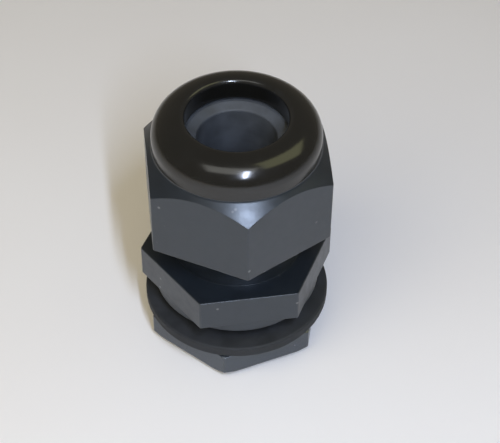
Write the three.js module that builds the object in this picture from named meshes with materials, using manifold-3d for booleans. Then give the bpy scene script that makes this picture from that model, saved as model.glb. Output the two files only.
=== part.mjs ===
// A nylon cable gland in its loosened state, as the five pieces it comes apart into:
// the gland body, the domed sealing cap, the rubber seal insert, the sealing washer and the locknut.
//
// Units are millimetres. +Z runs along the cable towards the domed cap, and z = 0 is the open end
// of the entry thread. Every piece is modelled where it sits, so that mating threads are in step.

import * as THREE from 'three';
import { mergeVertices } from 'three/addons/utils/BufferGeometryUtils.js';
import Module from 'manifold-3d';

const wasm = await Module();
wasm.setup();

// ---- Driving dimensions ----

// Clearances
const restGap = 0.3; // between faces that lie on or slide in each other
const threadPlay = 0.2; // radial play of a nut on its thread
const flankPlay = 0.12; // axial play on each side of a thread ridge

// Both threads are right-handed and share one pitch and one trapezoid form
const pitch = 1.5;
const threadDepth = 0.53 * pitch;
const ridgeFoot = 0.66 * pitch;
const ridgeCrest = 0.2 * pitch;

// Entry thread, which goes through the hole in the panel
const entryRadius = 9;
const entryLength = 9.15;
const shankLength = 1.2; // plain stretch under the collar, which centres the gland in its hole
const shankProud = 0.05; // the shank is this much larger in radius than the thread crests
const cableBore = 6;
const boreChamfer = 0.5;

// Collar and spanner flange of the gland body
const collarThickness = 1.6;
const collarStep = 0.1; // how far the collar is set in from the flats
const flangeThickness = 5;
const flangeStep = 1.75; // from the neck thread out to the flats
const flangeTurn = -20.8; // degrees from -Y towards +X, to a corner

// Neck, which carries the cap and holds the seal in a ring of claws
const neckRadius = 10;
const neckRelief = 3; // unthreaded stretch above the flange
const pocketWall = 1.2; // between the thread root and the seal pocket
const clawStep = 0.2; // how far the claws are set in from the thread root
const clawLength = 5.1;
const clawCount = 12;
const slotWidth = 0.9;
const slotOffset = 0.5; // from the top of the thread to the foot of a slot

// Sealing cap
const capLift = 5.9; // space between the flange and the loosened cap
const capWall = 2; // from the neck thread out to the flats
const capTurn = 6.9; // degrees from -Y towards +X, to a corner
const capHexHeight = 12.15; // from the open end to the foot of the round band
const capChamfer = 45; // degrees, slope of the cut across the corners
const bandStep = 0.65; // how far the band is set in from the flats
const bandHeight = 1.45;
const domeHeight = 3.4;
const openingStep = 1.45; // from the seal's bore out to the opening in the dome
const rimRound = 0.65;
const lipThickness = 3.05; // from the ceiling over the seal up to the crown
const mouthChamfer = 0.9;
const coneHeight = 1.7; // the cone under the ceiling squeezes the claws inwards
const coneStep = 0.75;
const tightenTurns = 3;

// Seal insert
const sealWall = 2.35; // from the pocket's side in to the bore
const sealLength = 12.6;
const sealMouthDepth = 0.6;
const sealMouthStep = 1.25;
const sealTaperHeight = 1.2;
const sealTaperStep = 0.6;

// Locknut, turned by hand until it is just clear of the thread's open end
const nutHeight = 4;
const nutProud = 1; // from the thread's end up to the nut
const nutWall = 2.25; // from the entry thread out to the flats
const nutTurn = -7; // degrees from -Y towards +X, to a corner
const nutChamferStep = 0.9; // how much the chamfer takes off each corner
const nutChamfer = 30; // degrees

// Sealing washer, which lies loose on the locknut
const washerThickness = 1.7;
const washerWidth = 3.75;
const washerRound = 0.35;

// Fineness of the mesh
const roundSteps = 32; // facets in a full turn
const arcSteps = 5; // facets in a rounded edge
const ridgeSink = 0.15; // how deep a ridge is set into its core, so that they join
const overcut = 1; // how far a cutting shape runs past the face that it opens

// ---- Sizes that follow from them ----

const entryRoot = entryRadius - threadDepth;
const shankRadius = entryRadius + shankProud;
const collarBottom = entryLength;
const collarTop = collarBottom + collarThickness;
const flangeTop = collarTop + flangeThickness;
const flangeFlat = neckRadius + flangeStep;
const collarRadius = flangeFlat - collarStep;

const neckRoot = neckRadius - threadDepth;
const pocketRadius = neckRoot - pocketWall;
const clawRadius = neckRoot - clawStep;

const capBottom = flangeTop + capLift;
const bandBottom = capBottom + capHexHeight;
const bandTop = bandBottom + bandHeight;
const capTop = bandTop + domeHeight;
const capFlat = neckRadius + capWall;
const bandRadius = capFlat - bandStep;
const sealRadius = pocketRadius - restGap;
const sealBore = sealRadius - sealWall;
const openingRadius = sealBore + openingStep;
const crownRadius = openingRadius + rimRound;
const ceiling = capTop - lipThickness;
const capCore = neckRoot + threadPlay;
const coneRadius = capCore - coneStep;
const tightenTravel = tightenTurns * pitch;

const clawTop = ceiling - tightenTravel - restGap;
const coneSlope = coneStep / coneHeight;
const clawTip = coneRadius + restGap * coneSlope - restGap;
const clawBevel = (clawRadius - clawTip) / coneSlope;
const neckThreadBottom = flangeTop + neckRelief;
const neckThreadTop = clawTop - clawLength;
const capThreadTop = neckThreadTop + tightenTravel + restGap;

const sealTop = ceiling - restGap;
const sealBottom = sealTop - sealLength;
const pocketFloor = sealBottom - tightenTravel - restGap;

const nutTop = nutProud + nutHeight;
const nutFlat = entryRadius + nutWall;
const nutCore = entryRoot + threadPlay;
const washerBottom = nutTop + restGap;
const washerTop = washerBottom + washerThickness;
const washerBore = shankRadius + restGap;
const washerRadius = washerBore + washerWidth;

// ---- Building blocks ----

/** Distance from the axis to a hexagon's corner, from its distance to a flat. */
function cornerOf(flat) {
  return flat / Math.cos(Math.PI / 6);
}

/** Turns a closed three.js geometry into a solid that can be joined and cut. */
function solid(geometry) {
  geometry.deleteAttribute('normal');
  geometry.deleteAttribute('uv');
  const merged = mergeVertices(geometry);
  const index = merged.getIndex().array;
  const triangles = [];
  for (let i = 0; i < index.length; i += 3) {
    const [a, b, c] = [index[i], index[i + 1], index[i + 2]];
    const collapsed = a === b || b === c || c === a;
    if (!collapsed) triangles.push(a, b, c);
  }
  return new wasm.Manifold(new wasm.Mesh({
    numProp: 3,
    vertProperties: new Float32Array(merged.getAttribute('position').array),
    triVerts: Uint32Array.from(triangles),
  }));
}

/** Revolves an outline of [radius, height] points, which runs out, up and back, about Z. */
function revolve(outline) {
  const points = outline.map(([radius, height]) => new THREE.Vector2(radius, height));
  return solid(new THREE.LatheGeometry(points, roundSteps).rotateX(Math.PI / 2));
}

/** Points of an elliptical arc about [radius, height], between two angles in degrees. */
function arc(centreRadius, centreHeight, across, up, fromDegrees, toDegrees) {
  return Array.from({ length: arcSteps + 1 }, (_, i) => {
    const angle = THREE.MathUtils.degToRad(fromDegrees + ((toDegrees - fromDegrees) * i) / arcSteps);
    return [centreRadius + across * Math.cos(angle), centreHeight + up * Math.sin(angle)];
  });
}

/** A hexagonal prism whose corner is turned by some degrees from -Y towards +X. */
function hexPrism(flat, bottom, top, turn) {
  const corners = Array.from({ length: 6 }, (_, i) => {
    const angle = THREE.MathUtils.degToRad(turn + 60 * i);
    return new THREE.Vector2(Math.sin(angle), -Math.cos(angle)).multiplyScalar(cornerOf(flat));
  });
  const prism = new THREE.ExtrudeGeometry(new THREE.Shape(corners), {
    depth: top - bottom,
    bevelEnabled: false,
  });
  return solid(prism.translate(0, 0, bottom));
}

/**
 * The helical ridge of a right-handed thread between two heights. Its middle is at z = 0 on the +X
 * side, whatever its length, so every ridge of one pitch is in step with every other. A lead-in
 * cuts the ridge down to its root at that end, at 45 degrees.
 */
function threadRidge({ crest, bottom, top, leadBottom = false, leadTop = false, play = 0 }) {
  const root = crest - threadDepth;
  const flankSlope = (ridgeFoot - ridgeCrest) / 2 / threadDepth;
  const halfFoot = ridgeFoot / 2 + play + flankSlope * ridgeSink;
  const halfCrest = ridgeCrest / 2 + play;
  const section = new THREE.Shape([
    new THREE.Vector2(root - ridgeSink, -halfFoot),
    new THREE.Vector2(crest, -halfCrest),
    new THREE.Vector2(crest, halfCrest),
    new THREE.Vector2(root - ridgeSink, halfFoot),
  ]);

  // A straight bar of this section is wound up: its length becomes the angle about Z
  const stepAngle = (2 * Math.PI) / roundSteps;
  const firstStep = Math.floor((bottom / pitch - 1) * roundSteps);
  const lastStep = Math.ceil((top / pitch + 1) * roundSteps);
  const bar = new THREE.ExtrudeGeometry(section, {
    depth: (lastStep - firstStep) * stepAngle,
    steps: lastStep - firstStep,
    bevelEnabled: false,
  });
  const position = bar.getAttribute('position');
  for (let i = 0; i < position.count; i += 1) {
    const radius = position.getX(i);
    const angle = lastStep * stepAngle - position.getZ(i);
    const height = position.getY(i) + (pitch * angle) / (2 * Math.PI);
    position.setXYZ(i, radius * Math.cos(angle), radius * Math.sin(angle), height);
  }

  // What is kept of it lies in a disc, which has a cone at each end with a lead-in
  const outside = crest + overcut;
  const bottomCone = leadBottom ? outside - root : 0;
  const topCone = leadTop ? outside - root : 0;
  const trim = revolve([
    [0, bottom],
    [outside - bottomCone, bottom],
    [outside, bottom + bottomCone],
    [outside, top - topCone],
    [outside - topCone, top],
    [0, top],
  ]);
  return solid(bar).intersect(trim);
}

/** Gives a finished solid back to three.js as a named mesh. */
function piece(name, shape, material) {
  const mesh = shape.getMesh();
  const geometry = new THREE.BufferGeometry();
  geometry.setAttribute('position', new THREE.BufferAttribute(mesh.vertProperties, 3));
  geometry.setIndex(new THREE.BufferAttribute(mesh.triVerts, 1));
  geometry.computeVertexNormals();
  const result = new THREE.Mesh(geometry, material);
  result.name = name;
  return result;
}

// ---- Materials ----

function blackNylon() {
  return new THREE.MeshStandardMaterial({ color: 0x1b1c1e, roughness: 0.3, flatShading: true });
}

function sealRubber() {
  return new THREE.MeshStandardMaterial({ color: 0x3a3e44, roughness: 0.65, flatShading: true });
}

function washerRubber() {
  return new THREE.MeshStandardMaterial({ color: 0x202226, roughness: 0.55, flatShading: true });
}

// ---- Pieces ----

/** Entry thread, collar, spanner flange, neck thread and claws, moulded in one. */
function glandBody() {
  const shankBottom = collarBottom - shankLength;
  const flangeMiddle = (collarTop + flangeTop) / 2; // the collar and the neck meet inside the flange
  const outside = revolve([
    [0, 0],
    [entryRoot, 0],
    [entryRoot, shankBottom],
    [shankRadius, shankBottom],
    [shankRadius, collarBottom],
    [collarRadius, collarBottom],
    [collarRadius, flangeMiddle],
    [neckRoot, flangeMiddle],
    [neckRoot, neckThreadTop],
    [clawRadius, neckThreadTop],
    [clawRadius, clawTop - clawBevel],
    [clawTip, clawTop],
    [0, clawTop],
  ]);
  const flange = hexPrism(flangeFlat, collarTop, flangeTop, flangeTurn);
  const entryThread = threadRidge({
    crest: entryRadius,
    bottom: 0,
    top: shankBottom + ridgeSink,
    leadBottom: true,
  });
  const neckThread = threadRidge({
    crest: neckRadius,
    bottom: neckThreadBottom,
    top: neckThreadTop,
    leadBottom: true,
    leadTop: true,
  });
  const bore = revolve([
    [0, -overcut],
    [cableBore + boreChamfer, -overcut],
    [cableBore + boreChamfer, 0],
    [cableBore, boreChamfer],
    [cableBore, pocketFloor],
    [pocketRadius, pocketFloor],
    [pocketRadius, clawTop + overcut],
    [0, clawTop + overcut],
  ]);
  return outside.add(flange).add(entryThread).add(neckThread).subtract(bore).subtract(clawSlots());
}

/** The slots that part the neck's upper end into claws. Each bar cuts two of them. */
function clawSlots() {
  const foot = neckThreadTop + slotOffset;
  const height = clawTop + overcut - foot;
  const bars = Array.from({ length: clawCount / 2 }, (_, i) => {
    const bar = new THREE.BoxGeometry(2 * neckRadius, slotWidth, height);
    bar.rotateZ(((i + 0.5) * 2 * Math.PI) / clawCount);
    return solid(bar.translate(0, 0, foot + height / 2));
  });
  return bars.reduce((all, bar) => all.add(bar));
}

/** Hexagonal cap with a round band and a dome, threaded inside, with a cone over the claws. */
function sealingCap() {
  const outer = cornerOf(capFlat) + overcut;
  const chamferDrop = (outer - bandRadius) * Math.tan(THREE.MathUtils.degToRad(capChamfer));
  const turned = revolve([
    [0, capBottom],
    [outer, capBottom],
    [outer, bandBottom - chamferDrop],
    [bandRadius, bandBottom],
    ...arc(crownRadius, bandTop, bandRadius - crownRadius, domeHeight, 0, 90),
    ...arc(crownRadius, capTop - rimRound, rimRound, rimRound, 90, 180).slice(1),
    [0, capTop - rimRound],
  ]);
  const hollow = revolve([
    [0, capBottom - overcut],
    [neckRadius + threadPlay + mouthChamfer, capBottom - overcut],
    [neckRadius + threadPlay + mouthChamfer, capBottom],
    [capCore, capBottom + threadDepth + mouthChamfer],
    [capCore, ceiling - coneHeight],
    [coneRadius, ceiling],
    [openingRadius, ceiling],
    [openingRadius, capTop + overcut],
    [0, capTop + overcut],
  ]);
  const thread = threadRidge({
    crest: neckRadius + threadPlay,
    bottom: capBottom - overcut,
    top: capThreadTop,
    play: flankPlay,
  });
  return hexPrism(capFlat, capBottom, capTop, capTurn).intersect(turned).subtract(hollow).subtract(thread);
}

/** Soft sleeve with a funnel mouth, which the claws squeeze onto the cable. */
function sealInsert() {
  const outline = [
    [sealBore, sealBottom],
    [sealRadius - sealTaperStep, sealBottom],
    [sealRadius, sealBottom + sealTaperHeight],
    [sealRadius, sealTop],
    [sealBore + sealMouthStep, sealTop],
    [sealBore, sealTop - sealMouthDepth],
  ];
  return revolve([...outline, outline[0]]);
}

/** Flat ring with rounded outer edges, which seals the panel against the locknut. */
function sealingWasher() {
  const edge = washerRadius - washerRound;
  const outline = [
    [washerBore, washerBottom],
    ...arc(edge, washerBottom + washerRound, washerRound, washerRound, -90, 0),
    ...arc(edge, washerTop - washerRound, washerRound, washerRound, 0, 90),
    [washerBore, washerTop],
  ];
  return revolve([...outline, outline[0]]);
}

/** Hexagonal nut with chamfered corners, threaded right through. */
function locknut() {
  const outer = cornerOf(nutFlat) + overcut;
  const face = cornerOf(nutFlat) - nutChamferStep;
  const drop = (outer - face) * Math.tan(THREE.MathUtils.degToRad(nutChamfer));
  const turned = revolve([
    [0, nutProud],
    [face, nutProud],
    [outer, nutProud + drop],
    [outer, nutTop - drop],
    [face, nutTop],
    [0, nutTop],
  ]);
  const lead = threadDepth + threadPlay;
  const hole = revolve([
    [0, nutProud - overcut],
    [nutCore + lead, nutProud - overcut],
    [nutCore + lead, nutProud],
    [nutCore, nutProud + lead],
    [nutCore, nutTop - lead],
    [nutCore + lead, nutTop],
    [nutCore + lead, nutTop + overcut],
    [0, nutTop + overcut],
  ]);
  const thread = threadRidge({
    crest: entryRadius + threadPlay,
    bottom: nutProud - overcut,
    top: nutTop + overcut,
    play: flankPlay,
  });
  return hexPrism(nutFlat, nutProud, nutTop, nutTurn).intersect(turned).subtract(hole).subtract(thread);
}

// ---- Assembly ----

const gland = new THREE.Group();
gland.name = 'cable_gland';
gland.add(piece('gland_body', glandBody(), blackNylon()));
gland.add(piece('sealing_cap', sealingCap(), blackNylon()));
gland.add(piece('seal_insert', sealInsert(), sealRubber()));
gland.add(piece('sealing_washer', sealingWasher(), washerRubber()));
gland.add(piece('locknut', locknut(), blackNylon()));

export default gland;
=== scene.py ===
"""The looks of a loosened nylon cable gland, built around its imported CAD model.

Every new piece is a ring-shaped skin about Z. Its columns are half-planes through the axis, at an
angle from -Y towards +X. Its rows follow an outline of radius and height, which goes up the outside,
in over the top, down the bore and out under the foot. Sizes are in millimetres until a mesh is made.
"""

import math

import bpy
import numpy as np
from mathutils import Matrix, Vector


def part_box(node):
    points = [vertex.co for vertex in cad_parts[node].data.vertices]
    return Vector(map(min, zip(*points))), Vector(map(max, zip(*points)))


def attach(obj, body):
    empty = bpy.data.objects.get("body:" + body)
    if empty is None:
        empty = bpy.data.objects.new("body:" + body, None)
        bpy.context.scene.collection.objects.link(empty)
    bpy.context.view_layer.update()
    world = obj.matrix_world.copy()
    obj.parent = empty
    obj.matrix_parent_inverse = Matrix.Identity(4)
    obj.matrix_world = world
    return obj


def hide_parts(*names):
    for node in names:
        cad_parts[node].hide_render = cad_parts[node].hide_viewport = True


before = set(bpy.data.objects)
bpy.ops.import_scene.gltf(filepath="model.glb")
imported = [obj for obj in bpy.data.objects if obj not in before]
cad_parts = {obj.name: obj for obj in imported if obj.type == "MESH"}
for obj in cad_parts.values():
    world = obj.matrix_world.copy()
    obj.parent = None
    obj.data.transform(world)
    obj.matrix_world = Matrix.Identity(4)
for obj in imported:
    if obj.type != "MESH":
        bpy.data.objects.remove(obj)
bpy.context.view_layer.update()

MM = 0.001
EDGE_RADIUS = 0.14  # an edge this sharp or sharper is rubbed, and painted paler as a painted edge highlight, as much as any
STOP_SHORT = 0.1  # a thread's last row stops this far before the corner that follows it
AIM_HEIGHT = 0.03  # metres up the axis, where the lamps are aimed


def span(node):
    """Lowest and highest height of a CAD node, and its largest reach along X, in millimetres."""
    low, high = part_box(node)
    return low[2] / MM, high[2] / MM, high[0] / MM


# ---- Sizes of the gland ----

BODY_BOTTOM, CLAW_TOP, _ = span("gland_body")
CAP_BOTTOM, CAP_TOP, _ = span("sealing_cap")
SEAL_BOTTOM, SEAL_TOP, SEAL_RADIUS = span("seal_insert")
WASHER_BOTTOM, WASHER_TOP, WASHER_RADIUS = span("sealing_washer")
NUT_BOTTOM, NUT_TOP, _ = span("locknut")

PITCH = 1.5
THREAD_DEPTH = 0.53 * PITCH
HALF_RIDGE_FOOT = 0.33 * PITCH
HALF_RIDGE_CREST = 0.1 * PITCH
THREAD_PLAY = 0.2
FLANK_PLAY = 0.12

ENTRY_ROOT = 9 - THREAD_DEPTH
SHANK_RADIUS = 9.05
SHANK_BOTTOM = 7.95
COLLAR_BOTTOM = 9.15
COLLAR_TOP = 10.75
COLLAR_RADIUS = 11.65
FLANGE_TOP = 15.75
FLANGE_FLAT = 11.75
FLANGE_TURN = -20.8
CABLE_BORE = 6
BORE_CHAMFER = 0.5

NECK_ROOT = 10 - THREAD_DEPTH
NECK_THREAD_BOTTOM = 18.75
NECK_THREAD_TOP = 25.7
POCKET_RADIUS = 8.005
POCKET_FLOOR = 17.9
CLAW_RADIUS = 9.005
CLAW_TIP = 8.487
CLAW_BEVEL = 1.174
CLAW_COUNT = 12
SLOT_FOOT = 26.2
SLOT_WIDTH = 0.9

CAP_FLAT = 12
CAP_TURN = 6.9
BAND_RADIUS = 11.35
BAND_BOTTOM = 33.8
BAND_TOP = 35.25
CAP_CHAMFER = math.radians(45)
OPENING_RADIUS = 6.805
RIM_ROUND = 0.65
CEILING = 35.6
CAP_CORE = NECK_ROOT + THREAD_PLAY
CONE_RADIUS = 8.655
CONE_HEIGHT = 1.7
CAP_MOUTH = 11.1
CAP_THREAD_TOP = 30.5

SEAL_BORE = 5.355
SEAL_MOUTH = 6.605
SEAL_MOUTH_DEPTH = 0.6
SEAL_TAPER = 0.6
SEAL_TAPER_HEIGHT = 1.2

WASHER_BORE = 9.35
WASHER_ROUND = 0.35

NUT_FLAT = 11.25
NUT_TURN = -7
NUT_FACE = 12.09
NUT_CHAMFER = math.radians(30)
NUT_CORE = ENTRY_ROOT + THREAD_PLAY


# ---- Camera and room ----

def add_camera():
    """Looks down at the gland from the front, a little to the right of its axis."""
    camera = bpy.data.objects.new("camera", bpy.data.cameras.new("camera"))
    bpy.context.scene.collection.objects.link(camera)
    camera.data.lens = 105.74
    camera.data.sensor_width = 36
    camera.data.clip_start = 0.005
    camera.location = (0.0018506, -0.144007, 0.163939)
    tilt = Matrix.Rotation(math.radians(44.81), 3, "X")
    roll = Matrix.Rotation(math.radians(0.556), 3, "Z")
    camera.rotation_euler = (tilt @ roll).to_euler()
    bpy.context.scene.camera = camera


def colour(code):
    """A colour from its sRGB hex code, in linear light, with full alpha."""
    channels = np.array([int(code[i:i + 2], 16) for i in (1, 3, 5)]) / 255
    linear = np.where(channels <= 0.04045, channels / 12.92, ((channels + 0.055) / 1.055) ** 2.4)
    return (*linear.tolist(), 1.0)


def add_light(name, towards, distance, size, radiance, tint, along=(1, 0, 0), **rays):
    """A rectangular area light that faces the gland, which lies in the opposite direction to towards.

    The rectangle's size is (length, width) in metres, with its length along a given direction. Its
    rays can be kept off diffuse or glossy surfaces.
    """
    light = bpy.data.lights.new(name, "AREA")
    light.shape = "RECTANGLE"
    light.size, light.size_y = size
    light.energy = radiance * math.pi * size[0] * size[1]
    light.color = colour(tint)[:3]
    lamp = bpy.data.objects.new(name, light)
    bpy.context.scene.collection.objects.link(lamp)
    away = Vector(towards).normalized()
    across = away.cross(Vector(along)).normalized()
    lamp.location = Vector((0, 0, AIM_HEIGHT)) + distance * away
    lamp.rotation_euler = Matrix((across.cross(away), across, away)).transposed().to_euler()
    lamp.visible_camera = False
    lamp.visible_diffuse = rays.get("diffuse", True)
    lamp.visible_glossy = rays.get("glossy", True)


def add_lights():
    """A cool key lamp in front, a broad warm fill on the left, and two strips that the dome mirrors."""
    add_light("key_lamp", (0.16, -0.64, 0.73), 0.25, (0.007, 0.11), 200, "#D9E6FF")
    add_light("fill", (-0.36, -0.56, 0.75), 0.32, (0.32, 0.26), 1.97, "#FFF1CE", glossy=False)
    add_light(
        "cool_strip", (-0.1, -0.43, 0.88), 0.5, (0.42, 0.2), 1.6, "#FFFFF8",
        along=(0.35, -0.05, 0.02), diffuse=False)
    add_light(
        "warm_strip", (0.6, 0.02, 0.8), 0.5, (0.4, 0.25), 1.2, "#FFFFC4",
        along=(0.4, 0.43, -0.34), diffuse=False)
    world = bpy.data.worlds.new("room")
    bpy.context.scene.world = world
    world.use_nodes = True
    background = world.node_tree.nodes["Background"]
    background.inputs["Color"].default_value = colour("#FFF3DA")
    background.inputs["Strength"].default_value = 0.2
    bpy.context.scene.view_settings.view_transform = "Standard"


# ---- Finishes ----

def node(tree, kind, inputs=None, feeds=None, **settings):
    """Adds a node to a tree, with its settings and its links.

    An input is given a value, or a socket to be linked to it. Feeds are the sockets of other nodes
    that its outputs are linked to.
    """
    made = tree.nodes.new(kind)
    for key, value in settings.items():
        setattr(made, key, value)
    for key, value in (inputs or {}).items():
        if isinstance(value, bpy.types.NodeSocket):
            tree.links.new(value, made.inputs[key])
        else:
            made.inputs[key].default_value = value
    for key, socket in (feeds or {}).items():
        tree.links.new(made.outputs[key], socket)
    return made


def new_finish(name, ior):
    """An empty material with one Principled shader. Returns it, its tree, shader and coordinates."""
    finish = bpy.data.materials.new(name)
    finish.use_nodes = True
    tree = finish.node_tree
    tree.nodes.clear()
    shader = node(tree, "ShaderNodeBsdfPrincipled", {"IOR": ior})
    node(tree, "ShaderNodeOutputMaterial", {"Surface": shader.outputs["BSDF"]})
    place = node(tree, "ShaderNodeTexCoord").outputs["Object"]
    return finish, tree, shader, place


def per_mm(feature):
    """The scale that makes a pattern's features this many millimetres across."""
    return 1 / (feature * MM)


def moulded_polyamide(name, shades, gloss, roughness, grain_depth, ior, dust):
    """Polyamide 6, pigmented with carbon black and injection moulded.

    The eye gets a near-black body under a hard skin that mirrors softly. The skin keeps the grain of
    the mould, waves a little over every few millimetres where it sank on cooling, is rubbed duller along
    its edges and painted paler there, partly as wear and partly as a painted edge highlight, and holds
    some dust. Fine carbon black gives the gloss a slight blue cast.
    """
    finish, tree, shader, place = new_finish(name, ior)
    shader.inputs["Specular Tint"].default_value = colour(gloss)

    # The pigment clouds a little over about 4 mm.
    clouding = node(tree, "ShaderNodeTexNoise", {"Vector": place, "Scale": per_mm(4.0)})
    black = node(tree, "ShaderNodeMix", {
        0: clouding.outputs["Fac"],
        6: colour(shades[0]),
        7: colour(shades[1]),
    }, data_type="RGBA")

    # Handling rubs the edges in patches of about 1.5 mm, and the same patches are painted paler as a
    # painted edge highlight.
    edge_patch_noise = node(tree, "ShaderNodeTexNoise", {"Vector": place, "Scale": per_mm(1.5), "Detail": 4.0})
    patchy = node(tree, "ShaderNodeMapRange", {
        "Value": edge_patch_noise.outputs["Fac"],
        "From Min": 0.3,
        "From Max": 0.7,
        "To Min": 0.15,
        "To Max": 0.8,
    })
    edge = node(tree, "ShaderNodeAttribute", attribute_name="edge")
    rubbed_and_highlit_edge = node(tree, "ShaderNodeMath", {
        0: edge.outputs["Fac"],
        1: patchy.outputs["Result"],
    }, operation="MULTIPLY")
    # Painted edge highlight, partly also wear: sharp edges are mixed towards a paler grey, in patches.
    worn_and_highlit = node(tree, "ShaderNodeMix", {
        0: rubbed_and_highlit_edge.outputs[0],
        6: black.outputs[2],
        7: colour("#34363A"),
    }, data_type="RGBA")

    # About a quarter of the cells, which are 1.7 mm across, hold a speck of dust. Real dust is mostly
    # finer than a speck's 0.4 mm, which is as fine as shows.
    cells = node(tree, "ShaderNodeTexVoronoi", {"Vector": place, "Scale": per_mm(1.7)})
    speck = node(tree, "ShaderNodeMapRange", {
        "Value": cells.outputs["Distance"],
        "From Min": 0.06,
        "From Max": 0.16,
        "To Min": 1.0,
        "To Max": 0.0,
    })
    chosen = node(tree, "ShaderNodeMapRange", {
        "Value": cells.outputs["Color"],
        "From Min": 0.66,
        "From Max": 0.72,
        "To Min": 0.0,
        "To Max": dust,
    })
    dusty = node(tree, "ShaderNodeMath", {
        0: speck.outputs["Result"],
        1: chosen.outputs["Result"],
    }, operation="MULTIPLY")
    node(tree, "ShaderNodeMix", {
        0: dusty.outputs[0],
        6: worn_and_highlit.outputs[2],
        7: colour("#9B9C9E"),
    }, {2: shader.inputs["Base Color"]}, data_type="RGBA")

    # The polish of the mould varies over about 1 mm, and a rubbed edge is duller.
    polish = node(tree, "ShaderNodeTexNoise", {"Vector": place, "Scale": per_mm(1.1), "Detail": 4.0})
    rough = node(tree, "ShaderNodeMapRange", {
        "Value": polish.outputs["Fac"],
        "From Min": 0.3,
        "From Max": 0.7,
        "To Min": 0.9 * roughness,
        "To Max": 1.12 * roughness,
    })
    node(tree, "ShaderNodeMath", {
        0: rubbed_and_highlit_edge.outputs[0],
        1: 0.2,
        2: rough.outputs["Result"],
    }, {0: shader.inputs["Roughness"]}, operation="MULTIPLY_ADD")

    # Sink marks are 12 micrometres deep and 3 mm across. The grain of a moulding tool is about 0.05 mm
    # and is drawn at 0.3 mm so that it shows.
    sinking = node(tree, "ShaderNodeTexNoise", {"Vector": place, "Scale": per_mm(3.0)})
    sunk = node(tree, "ShaderNodeBump", {"Height": sinking.outputs["Fac"], "Distance": 0.012 * MM})
    tool = node(tree, "ShaderNodeTexNoise", {"Vector": place, "Scale": per_mm(0.3), "Detail": 3.0})
    node(tree, "ShaderNodeBump", {
        "Height": tool.outputs["Fac"],
        "Distance": grain_depth * MM,
        "Normal": sunk.outputs["Normal"],
    }, {"Normal": shader.inputs["Normal"]})
    return finish


def moulded_rubber(name, dark, light, roughness):
    """Nitrile rubber, compression moulded: dull, with a faint bloom in patches and a fine grain."""
    finish, tree, shader, place = new_finish(name, ior=1.5)

    # Bloom comes out in patches of about 2.5 mm.
    bloom = node(tree, "ShaderNodeTexNoise", {"Vector": place, "Scale": per_mm(2.5), "Detail": 4.0})
    patches = node(tree, "ShaderNodeMapRange", {
        "Value": bloom.outputs["Fac"],
        "From Min": 0.3,
        "From Max": 0.7,
    })
    node(tree, "ShaderNodeMix", {
        0: patches.outputs["Result"],
        6: colour(dark),
        7: colour(light),
    }, {2: shader.inputs["Base Color"]}, data_type="RGBA")
    node(tree, "ShaderNodeMapRange", {
        "Value": bloom.outputs["Fac"],
        "From Min": 0.3,
        "From Max": 0.7,
        "To Min": 0.9 * roughness,
        "To Max": 1.1 * roughness,
    }, {"Result": shader.inputs["Roughness"]})

    # The grain of a ground tool is about 0.05 mm and is drawn at 0.25 mm so that it shows.
    tool = node(tree, "ShaderNodeTexNoise", {"Vector": place, "Scale": per_mm(0.25), "Detail": 3.0})
    node(tree, "ShaderNodeBump", {
        "Height": tool.outputs["Fac"],
        "Distance": 0.012 * MM,
    }, {"Normal": shader.inputs["Normal"]})
    return finish


def coated_board():
    """Coated paperboard, calendered: pale and matt, a little uneven in its white."""
    finish, tree, shader, place = new_finish("coated_board_calendered", ior=1.45)
    shader.inputs["Roughness"].default_value = 0.7

    # The coating clouds over some 60 mm, between a warm and a cool white.
    clouding = node(tree, "ShaderNodeTexNoise", {"Vector": place, "Scale": per_mm(60.0)})
    clouds = node(tree, "ShaderNodeMapRange", {
        "Value": clouding.outputs["Fac"],
        "From Min": 0.3,
        "From Max": 0.7,
    })
    node(tree, "ShaderNodeMix", {
        0: clouds.outputs["Result"],
        6: colour("#F3F2F3"),
        7: colour("#F6F6F8"),
    }, {2: shader.inputs["Base Color"]}, data_type="RGBA")

    # Fibres of 0.02 mm lie in clumps of about 0.6 mm, which is what shows.
    fibres = node(tree, "ShaderNodeTexNoise", {"Vector": place, "Scale": per_mm(0.6), "Detail": 4.0})
    node(tree, "ShaderNodeBump", {
        "Height": fibres.outputs["Fac"],
        "Distance": 0.006 * MM,
    }, {"Normal": shader.inputs["Normal"]})
    return finish


# ---- Building blocks of the surfaces ----

def skin(name, points, faces, finishes, face_finish=None):
    """A smooth mesh object from points in millimetres and four-sided faces."""
    mesh = bpy.data.meshes.new(name)
    mesh.from_pydata((points * MM).tolist(), [], faces.tolist())
    for finish in finishes:
        mesh.materials.append(finish)
    mesh.polygons.foreach_set("use_smooth", np.ones(len(faces), dtype=bool))
    if face_finish is not None:
        mesh.polygons.foreach_set("material_index", face_finish.astype(np.int32))
    mesh.update()
    piece = bpy.data.objects.new(name, mesh)
    bpy.context.scene.collection.objects.link(piece)
    return piece


def edge_strength(points):
    """How much of an edge each point of a closed grid is, from 0 on a flat to 1 on a sharp corner.

    Along rows and along columns, the bend is the change of direction over the mean step, measured
    against the outward normal, which is the cross product of the two central differences.
    """
    normal = np.cross(
        np.roll(points, -1, axis=1) - np.roll(points, 1, axis=1),
        np.roll(points, -1, axis=0) - np.roll(points, 1, axis=0),
    )
    normal /= np.maximum(np.linalg.norm(normal, axis=-1, keepdims=True), 1e-9)
    bends = []
    for axis in (0, 1):
        ahead = np.roll(points, -1, axis=axis) - points
        behind = np.roll(ahead, 1, axis=axis)
        steps = [np.maximum(np.linalg.norm(step, axis=-1, keepdims=True), 1e-6) for step in (ahead, behind)]
        turn = 2 * (behind / steps[1] - ahead / steps[0]) / (steps[0] + steps[1])
        bends.append(np.sum(turn * normal, axis=-1))
    return np.clip(np.maximum(*bends) * EDGE_RADIUS, 0, 1)


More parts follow.
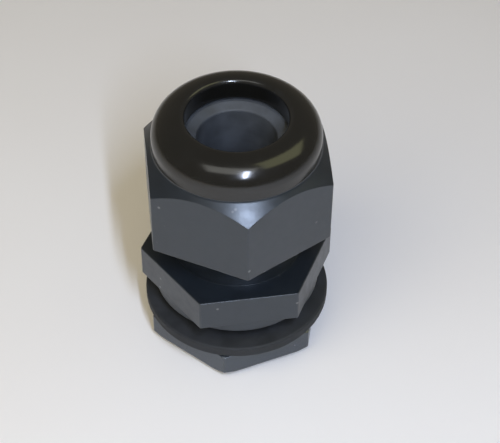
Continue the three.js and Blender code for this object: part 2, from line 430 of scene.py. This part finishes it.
def ring_skin(name, angle, outline, finishes, row_finish=None):
    """The closed skin x = r sin a, y = -r cos a, z = h of an outline of [row, column, (r, h)]."""
    rows, columns = outline.shape[:2]
    radius, height = outline[..., 0], outline[..., 1]
    points = np.stack([radius * np.sin(angle), -radius * np.cos(angle), height], axis=-1)
    here = np.arange(rows * columns).reshape(rows, columns)
    beside = np.roll(here, -1, axis=1)
    faces = np.stack([here, beside, np.roll(beside, -1, axis=0), np.roll(here, -1, axis=0)], axis=-1)
    face_finish = None if row_finish is None else np.repeat(row_finish, columns)
    piece = skin(name, points.reshape(-1, 3), faces.reshape(-1, 4), finishes, face_finish)
    edge = piece.data.attributes.new("edge", "FLOAT", "POINT")
    edge.data.foreach_set("value", edge_strength(points).ravel().astype(np.float32))
    return piece


def hexagon(flat, turn, corner_round, side_points=22, corner_points=7):
    """Angles and radii round a hexagon with rounded corners, the first of them turned by some degrees.

    One sixth is the arc d + c e^(it) about a point d on the corner's line, and then the side
    e^(i 30 deg) (flat + i s), with s bunched at both ends as a sine. It is repeated every 60 degrees.
    """
    sixth_turn = math.radians(30)
    inset = flat - corner_round
    spread = np.linspace(-sixth_turn, sixth_turn, corner_points)
    corner = inset / math.cos(sixth_turn) + corner_round * np.exp(1j * spread)
    bunched = np.sin(np.linspace(-math.pi / 2, math.pi / 2, side_points)[1:-1])
    side = np.exp(1j * sixth_turn) * (flat + 1j * inset * math.tan(sixth_turn) * bunched)
    turns = np.exp(1j * np.radians(turn + 60 * np.arange(6)))
    whole = (turns[:, None] * np.concatenate([corner, side])).ravel()
    return np.angle(whole), np.abs(whole)


def stacked(corners, columns):
    """Corners of (radius, height) numbers or arrays, as one [corner, column, 2] array."""
    rows = [[np.broadcast_to(value, columns) for value in corner] for corner in corners]
    return np.moveaxis(np.array(rows, dtype=float), 1, -1)


def rounded(corners, columns, steps=5, guard=0.06):
    """Rows of an outline through (radius, height, rounding) corners. The two ends only lead in and out.

    Each corner becomes the arc that touches both its sides: with sides along u and v at an angle w,
    it starts r / tan(w/2) from the corner and turns about a point r / sin(w/2) away. A row a guard's
    length before and after each arc keeps the flat stretches flat to the eye.
    """
    points = stacked([corner[:2] for corner in corners], columns)
    rows = []
    for k in range(1, len(corners) - 1):
        before, corner, after = points[k - 1:k + 2]
        reach_before = np.linalg.norm(before - corner, axis=-1, keepdims=True)
        reach_after = np.linalg.norm(after - corner, axis=-1, keepdims=True)
        u = (before - corner) / reach_before
        v = (after - corner) / reach_after
        opening = np.arccos(np.clip(np.sum(u * v, axis=-1, keepdims=True), -1, 1))
        longest = 0.4 * np.minimum(reach_before, reach_after)  # so that two arcs on one side never meet
        touch = np.minimum(corners[k][2] / np.tan(opening / 2), longest)
        radius = touch * np.tan(opening / 2)
        halfway = (u + v) / np.linalg.norm(u + v, axis=-1, keepdims=True)
        centre = corner + halfway * radius / np.sin(opening / 2)
        start = corner + u * touch - centre
        stop = corner + v * touch - centre
        swing = math.pi - opening
        guarded = np.minimum(touch + guard, 1.1 * longest)
        rows.append(corner + u * guarded)
        for s in np.linspace(0, 1, steps + 1):
            swung = np.sin((1 - s) * swing) * start + np.sin(s * swing) * stop
            rows.append(centre + swung / np.sin(swing))
        rows.append(corner + v * guarded)
    return np.array(rows)


def ellipse_arc(centre, across, up, start, stop, steps, columns):
    """Rows of the arc (r, h) = centre + (across cos t, up sin t), from start to stop degrees."""
    t = np.radians(np.linspace(start, stop, steps + 1))
    rows = np.stack([centre[0] + across * np.cos(t), centre[1] + up * np.sin(t)], axis=-1)
    return np.repeat(rows[:, None, :], columns, axis=1)


def ridge(angle, height, play=0.0):
    """How far a thread's ridge stands out, from 0 to 1, at each angle and height.

    The distance to the nearest turn's middle is d = pitch (p - round p), where p = h / pitch - a', and
    a' is the angle from +X in turns. The ridge is a trapezoid in d with softened shoulders.
    """
    turns = height / PITCH - (angle - math.pi / 2) / (2 * math.pi)
    distance = PITCH * np.abs(turns - np.round(turns))
    rise = (HALF_RIDGE_FOOT + play - distance) / (HALF_RIDGE_FOOT - HALF_RIDGE_CREST)
    level = np.clip(rise, 0, 1)
    return level * level * (3 - 2 * level)


def thread_rows(angle, bottom, top, root, play=0.0, row_height=0.075):
    """Rows up a threaded stretch: the root's radius, with the ridge on it."""
    steps = math.ceil((top - bottom) / row_height)
    height = np.repeat(np.linspace(bottom, top, steps + 1)[:, None], len(angle), axis=1)
    return np.stack([root + THREAD_DEPTH * ridge(angle, height, play), height], axis=-1)


def kept_under(rows, limit):
    """The same rows, with each radius no more than a limit that depends on the height."""
    return np.stack([np.minimum(rows[..., 0], limit(rows[..., 1])), rows[..., 1]], axis=-1)


def kept_over(rows, limit):
    """The same rows, with each radius no less than a limit that depends on the height."""
    return np.stack([np.maximum(rows[..., 0], limit(rows[..., 1])), rows[..., 1]], axis=-1)


def set_up(piece, body, cad_node):
    """Puts a piece on its body, in place of its CAD node."""
    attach(piece, body)
    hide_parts(cad_node)


# ---- Pieces ----

def gland_body(satin):
    """Entry thread, shank, collar, spanner flange and threaded neck, with the seal's pocket inside."""
    angle, hex_radius = hexagon(FLANGE_FLAT, FLANGE_TURN, corner_round=0.35)
    columns = len(angle)
    entry = kept_under(
        thread_rows(angle, BODY_BOTTOM, SHANK_BOTTOM - STOP_SHORT / 2, ENTRY_ROOT),
        lambda h: ENTRY_ROOT + h - BODY_BOTTOM,
    )
    flange = rounded([
        (ENTRY_ROOT, SHANK_BOTTOM, 0),
        (SHANK_RADIUS, SHANK_BOTTOM, 0.1),
        (SHANK_RADIUS, COLLAR_BOTTOM, 0.1),
        (COLLAR_RADIUS, COLLAR_BOTTOM, 0.12),
        (COLLAR_RADIUS, COLLAR_TOP, 0.05),
        (hex_radius, COLLAR_TOP, 0.15),
        (hex_radius, FLANGE_TOP, 0.14),
        (NECK_ROOT, FLANGE_TOP, 0.04),
        (NECK_ROOT, NECK_THREAD_BOTTOM, 0),
    ], columns)
    neck = kept_under(
        thread_rows(angle, NECK_THREAD_BOTTOM, NECK_THREAD_TOP - STOP_SHORT, NECK_ROOT),
        lambda h: NECK_ROOT + np.minimum(h - NECK_THREAD_BOTTOM, NECK_THREAD_TOP - h),
    )
    inside = rounded([
        (NECK_ROOT, NECK_THREAD_TOP - STOP_SHORT, 0),
        (NECK_ROOT, NECK_THREAD_TOP, 0.05),
        (POCKET_RADIUS, NECK_THREAD_TOP, 0.05),
        (POCKET_RADIUS, POCKET_FLOOR, 0.2),
        (CABLE_BORE, POCKET_FLOOR, 0.15),
        (CABLE_BORE, BODY_BOTTOM + BORE_CHAMFER, 0.1),
        (CABLE_BORE + BORE_CHAMFER, BODY_BOTTOM, 0.08),
        (ENTRY_ROOT, BODY_BOTTOM, 0),
    ], columns)
    piece = ring_skin("gland_body_moulding", angle, np.concatenate([entry, flange, neck, inside]), [satin])
    set_up(piece, "body", "gland_body")


def claws(satin):
    """The ring of claws round the seal: one outline, whose height is squeezed down in the slots."""
    period = 2 * math.pi / CLAW_COUNT
    half_slot = SLOT_WIDTH / 2 / CLAW_RADIUS
    half_claw = period / 2 - half_slot
    claw = half_claw * np.sin(np.linspace(-math.pi / 2, math.pi / 2, 13))
    slot = period / 2 + half_slot * np.linspace(-0.98, 0.98, 4)
    one = np.concatenate([claw, slot])
    angle = (one + math.radians(90) + period * np.arange(CLAW_COUNT)[:, None]).ravel()
    in_slot = np.tile(np.arange(len(one)) >= len(claw), CLAW_COUNT)
    foot = NECK_THREAD_TOP
    sunk = 0.3  # the ring's foot reaches this far down into the neck
    inset = 0.1  # and is this much slimmer there on each side
    outline = rounded([
        (POCKET_RADIUS + inset, foot - sunk, 0),
        (CLAW_RADIUS - inset, foot - sunk, 0.03),
        (CLAW_RADIUS, foot, 0.05),
        (CLAW_RADIUS, CLAW_TOP - CLAW_BEVEL, 0.4),
        (CLAW_TIP, CLAW_TOP, 0.12),
        (POCKET_RADIUS, CLAW_TOP, 0.12),
        (POCKET_RADIUS, foot, 0.05),
        (POCKET_RADIUS + inset, foot - sunk, 0.03),
        (CLAW_RADIUS - inset, foot - sunk, 0),
    ], len(angle))
    above = np.maximum(outline[..., 1] - foot, 0)
    squeeze = np.where(in_slot, (SLOT_FOOT - foot) / (CLAW_TOP - foot), 1)
    outline[..., 1] = np.minimum(outline[..., 1], foot) + above * squeeze
    set_up(ring_skin("neck_claws", angle, outline, [satin]), "body", "gland_body")


def sealing_cap(satin, polished):
    """Hexagon cut back by a cone, round band and dome outside. Thread, cone and opening inside."""
    angle, hex_radius = hexagon(CAP_FLAT, CAP_TURN, corner_round=0.3)
    columns = len(angle)
    shoulder = BAND_BOTTOM - (hex_radius - BAND_RADIUS) * math.tan(CAP_CHAMFER)
    crown_radius = OPENING_RADIUS + RIM_ROUND
    crown_height = CAP_TOP - BAND_TOP
    outside = rounded([
        (CAP_MOUTH, CAP_BOTTOM, 0),
        (hex_radius, CAP_BOTTOM, 0.15),
        (hex_radius, shoulder, 0.14),
        (BAND_RADIUS, BAND_BOTTOM, 0.5),
        (BAND_RADIUS, BAND_TOP, 0),
    ], columns)
    dome_centre = (crown_radius, BAND_TOP)
    rim_centre = (crown_radius, CAP_TOP - RIM_ROUND)
    dome = ellipse_arc(dome_centre, BAND_RADIUS - crown_radius, crown_height, 0, 90, 28, columns)
    rim = ellipse_arc(rim_centre, RIM_ROUND, RIM_ROUND, 90, 180, 12, columns)[1:]
    inside = rounded([
        (OPENING_RADIUS, CAP_TOP - RIM_ROUND, 0),
        (OPENING_RADIUS, CEILING, 0.1),
        (CONE_RADIUS, CEILING, 0.12),
        (CAP_CORE, CEILING - CONE_HEIGHT, 0.2),
        (CAP_CORE, CAP_THREAD_TOP, 0),
    ], columns)
    groove = thread_rows(angle, CAP_BOTTOM, CAP_THREAD_TOP, CAP_CORE, FLANK_PLAY)[::-1]
    groove = kept_over(groove, lambda h: CAP_MOUTH - (h - CAP_BOTTOM))
    run_out_height = 0.5 * PITCH
    run_out = np.clip((CAP_THREAD_TOP - groove[..., 1]) / run_out_height, 0, 1)
    groove[..., 0] = np.where(
        groove[..., 1] > CAP_THREAD_TOP - run_out_height,
        CAP_CORE + (groove[..., 0] - CAP_CORE) * run_out,
        groove[..., 0],
    )
    outline = np.concatenate([outside, dome, rim, inside, groove])
    band_start = len(outside) - 3  # the last two rows of the arc at the band's foot, and the guard row
    polished_rows = np.zeros(len(outline), dtype=int)
    polished_rows[band_start:len(outside) + len(dome) + len(rim)] = 1
    piece = ring_skin("sealing_cap_moulding", angle, outline, [satin, polished], polished_rows)
    set_up(piece, "cap", "sealing_cap")


def round_columns(count=160):
    """Evenly spaced angles for a round piece."""
    return np.linspace(0, 2 * math.pi, count, endpoint=False)


def seal_insert(rubber):
    """Sleeve with a funnel mouth and a tapered foot."""
    angle = round_columns()
    corners = [
        (SEAL_BORE, SEAL_BOTTOM, 0.2),
        (SEAL_RADIUS - SEAL_TAPER, SEAL_BOTTOM, 0.25),
        (SEAL_RADIUS, SEAL_BOTTOM + SEAL_TAPER_HEIGHT, 0.4),
        (SEAL_RADIUS, SEAL_TOP, 0.2),
        (SEAL_MOUTH, SEAL_TOP, 0.15),
        (SEAL_BORE, SEAL_TOP - SEAL_MOUTH_DEPTH, 0.35),
    ]
    outline = rounded([corners[-1], *corners, corners[0]], len(angle))
    set_up(ring_skin("seal_insert_sleeve", angle, outline, [rubber]), "seal", "seal_insert")


def sealing_washer(rubber):
    """Flat ring with rounded outer edges."""
    angle = round_columns()
    corners = [
        (WASHER_BORE, WASHER_BOTTOM, 0.12),
        (WASHER_RADIUS, WASHER_BOTTOM, WASHER_ROUND),
        (WASHER_RADIUS, WASHER_TOP, WASHER_ROUND),
        (WASHER_BORE, WASHER_TOP, 0.12),
    ]
    outline = rounded([corners[-1], *corners, corners[0]], len(angle), steps=7)
    piece = ring_skin("sealing_washer_ring", angle, outline, [rubber])
    set_up(piece, "washer", "sealing_washer")


def locknut(smooth):
    """Hexagon with its corners cut back by a cone at both ends, threaded right through."""
    angle, hex_radius = hexagon(NUT_FLAT, NUT_TURN, corner_round=0.3)
    columns = len(angle)
    least_chamfer = 0.15
    face = np.minimum(hex_radius - least_chamfer, NUT_FACE)
    drop = (hex_radius - face) * math.tan(NUT_CHAMFER)
    lead = THREAD_DEPTH + THREAD_PLAY
    outside = rounded([
        (NUT_CORE + lead, NUT_BOTTOM, 0),
        (face, NUT_BOTTOM, 0.1),
        (hex_radius, NUT_BOTTOM + drop, 0.1),
        (hex_radius, NUT_TOP - drop, 0.1),
        (face, NUT_TOP, 0.1),
        (NUT_CORE + lead, NUT_TOP, 0.05),
        (NUT_CORE + lead - 2 * STOP_SHORT, NUT_TOP - 2 * STOP_SHORT, 0),
    ], columns)
    groove = thread_rows(angle, NUT_BOTTOM, NUT_TOP - STOP_SHORT, NUT_CORE, FLANK_PLAY)[::-1]
    groove = kept_over(groove, lambda h: NUT_CORE + lead - np.minimum(h - NUT_BOTTOM, NUT_TOP - h))
    piece = ring_skin("locknut_moulding", angle, np.concatenate([outside, groove]), [smooth])
    set_up(piece, "nut", "locknut")


def floor():
    """The board the gland stands on."""
    reach = 1200  # from the axis to each side
    corners = np.array([[-1, -1, 0], [1, -1, 0], [1, 1, 0], [-1, 1, 0]]) * reach
    board = skin("floor", corners, np.array([[0, 1, 2, 3]]), [coated_board()])


add_camera()
add_lights()
floor()

# Three mould surfaces: lightly blasted for the cap's hexagon, the body and its claws, smoother for the
# locknut, and polished for the cap's band and dome.
satin_polyamide = moulded_polyamide(
    "polyamide_satin_moulded",
    shades=("#12171E", "#181F28"),
    gloss="#EEF6FF",
    roughness=0.36,
    grain_depth=0.006,
    ior=1.75,
    dust=0.5,
)
smooth_polyamide = moulded_polyamide(
    "polyamide_smooth_moulded",
    shades=("#1A212B", "#212A35"),
    gloss="#EEF6FF",
    roughness=0.24,
    grain_depth=0.003,
    ior=1.85,
    dust=0.4,
)
polished_polyamide = moulded_polyamide(
    "polyamide_polished_moulded",
    shades=("#121211", "#171716"),
    gloss="#FFFFFF",
    roughness=0.16,
    grain_depth=0.001,
    ior=1.58,
    dust=0.0,
)
seal_rubber = moulded_rubber("nitrile_rubber_grey_moulded", "#3B3F45", "#494E56", 0.62)
washer_rubber = moulded_rubber("nitrile_rubber_black_moulded", "#1F2226", "#2A2D32", 0.75)

gland_body(satin_polyamide)
claws(satin_polyamide)
sealing_cap(satin_polyamide, polished_polyamide)
seal_insert(seal_rubber)
sealing_washer(washer_rubber)
locknut(smooth_polyamide)
